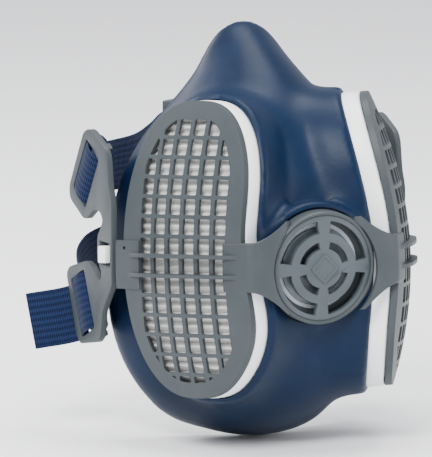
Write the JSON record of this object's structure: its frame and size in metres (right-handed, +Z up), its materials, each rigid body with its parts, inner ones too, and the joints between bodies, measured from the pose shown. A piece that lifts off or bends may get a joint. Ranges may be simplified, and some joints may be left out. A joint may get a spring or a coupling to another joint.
{
  "type": "half-mask respirator",
  "caption": "reusable half-mask respirator: soft facepiece, pleated side filters under grilles, slotted exhalation valve cover, strap wings and elastic straps",
  "frame": {"origin": "the middle of the face seal, on the mask's plane of symmetry", "axes": "+Z up, the wearer faces -Y, +X is the wearer's left"},
  "size_m": [0.1222, 0.1534, 0.1381],
  "materials": {
    "facepiece": "satin navy elastomer",
    "harness_frame": "fine matte gray moulding",
    "valve_cover": "fine matte gray moulding",
    "valve_seat": "pale moulding",
    "valve_flap": "thin silicone",
    "filter_casing": "white moulding",
    "filter_media": "pleated fibre media",
    "gasket": "black foam rubber",
    "strap": "woven elastic webbing"
  },
  "bodies": {
    "mask": {"facepiece": "facepiece", "exhalation_seat": "valve_seat", "valve_cover": "valve_cover", "harness_ring": "harness_frame", "left_filter_casing": "filter_casing", "right_filter_casing": "filter_casing", "left_filter_media": "filter_media", "right_filter_media": "filter_media", "left_filter_gasket": "gasket", "right_filter_gasket": "gasket", "left_inhalation_seat": "valve_seat", "right_inhalation_seat": "valve_seat", "left_head_strap": "strap", "right_head_strap": "strap", "head_strap_slider": "harness_frame", "left_neck_strap": "strap", "right_neck_strap": "strap", "left_neck_clip": "harness_frame", "right_neck_clip": "harness_frame"},
    "left_cover": {"left_filter_grille": "harness_frame", "left_strap_wing": "harness_frame"},
    "right_cover": {"right_filter_grille": "harness_frame", "right_strap_wing": "harness_frame"},
    "exhalation_flap": {"exhalation_flap": "valve_flap"},
    "left_inhalation_flap": {"left_inhalation_flap": "valve_flap"},
    "right_inhalation_flap": {"right_inhalation_flap": "valve_flap"},
    "left_latch": {"left_filter_latch": "filter_casing"},
    "right_latch": {"right_filter_latch": "filter_casing"}
  },
  "joints": [
    {"name": "left_cover_swing", "type": "hinge", "parent": "mask", "child": "left_cover", "pos_m": [0.0182, -0.0624, 0], "axis": [0, 0, -1], "range_deg": [0, 20], "stiffness_Nm_per_rad": 0.05, "deforming": ["left_head_strap", "left_neck_strap"]},
    {"name": "right_cover_swing", "type": "hinge", "parent": "mask", "child": "right_cover", "pos_m": [-0.0182, -0.0624, 0], "axis": [0, 0, 1], "range_deg": [0, 20], "stiffness_Nm_per_rad": 0.05, "deforming": ["right_head_strap", "right_neck_strap"]},
    {"name": "exhalation_flap_lift", "type": "slide", "parent": "mask", "child": "exhalation_flap", "axis": [0, -0.9986, -0.0523], "range_m": [0, 0.0015], "stiffness_N_per_m": 10},
    {"name": "left_inhalation_flap_lift", "type": "slide", "parent": "mask", "child": "left_inhalation_flap", "axis": [-0.8709, 0.4827, -0.0924], "range_m": [0, 0.0015], "stiffness_N_per_m": 10},
    {"name": "right_inhalation_flap_lift", "type": "slide", "parent": "mask", "child": "right_inhalation_flap", "axis": [0.8709, 0.4827, -0.0924], "range_m": [0, 0.0015], "stiffness_N_per_m": 10},
    {"name": "left_latch_flex", "type": "hinge", "parent": "mask", "child": "left_latch", "pos_m": [0.0467, -0.015, 0.00117], "axis": [0.051, -0.0981, -0.9939], "range_deg": [0, 3.5], "stiffness_Nm_per_rad": 0.0003},
    {"name": "right_latch_flex", "type": "hinge", "parent": "mask", "child": "right_latch", "pos_m": [-0.0467, -0.015, 0.00117], "axis": [0.051, 0.0981, 0.9939], "range_deg": [0, 3.5], "stiffness_Nm_per_rad": 0.0003}
  ]
}
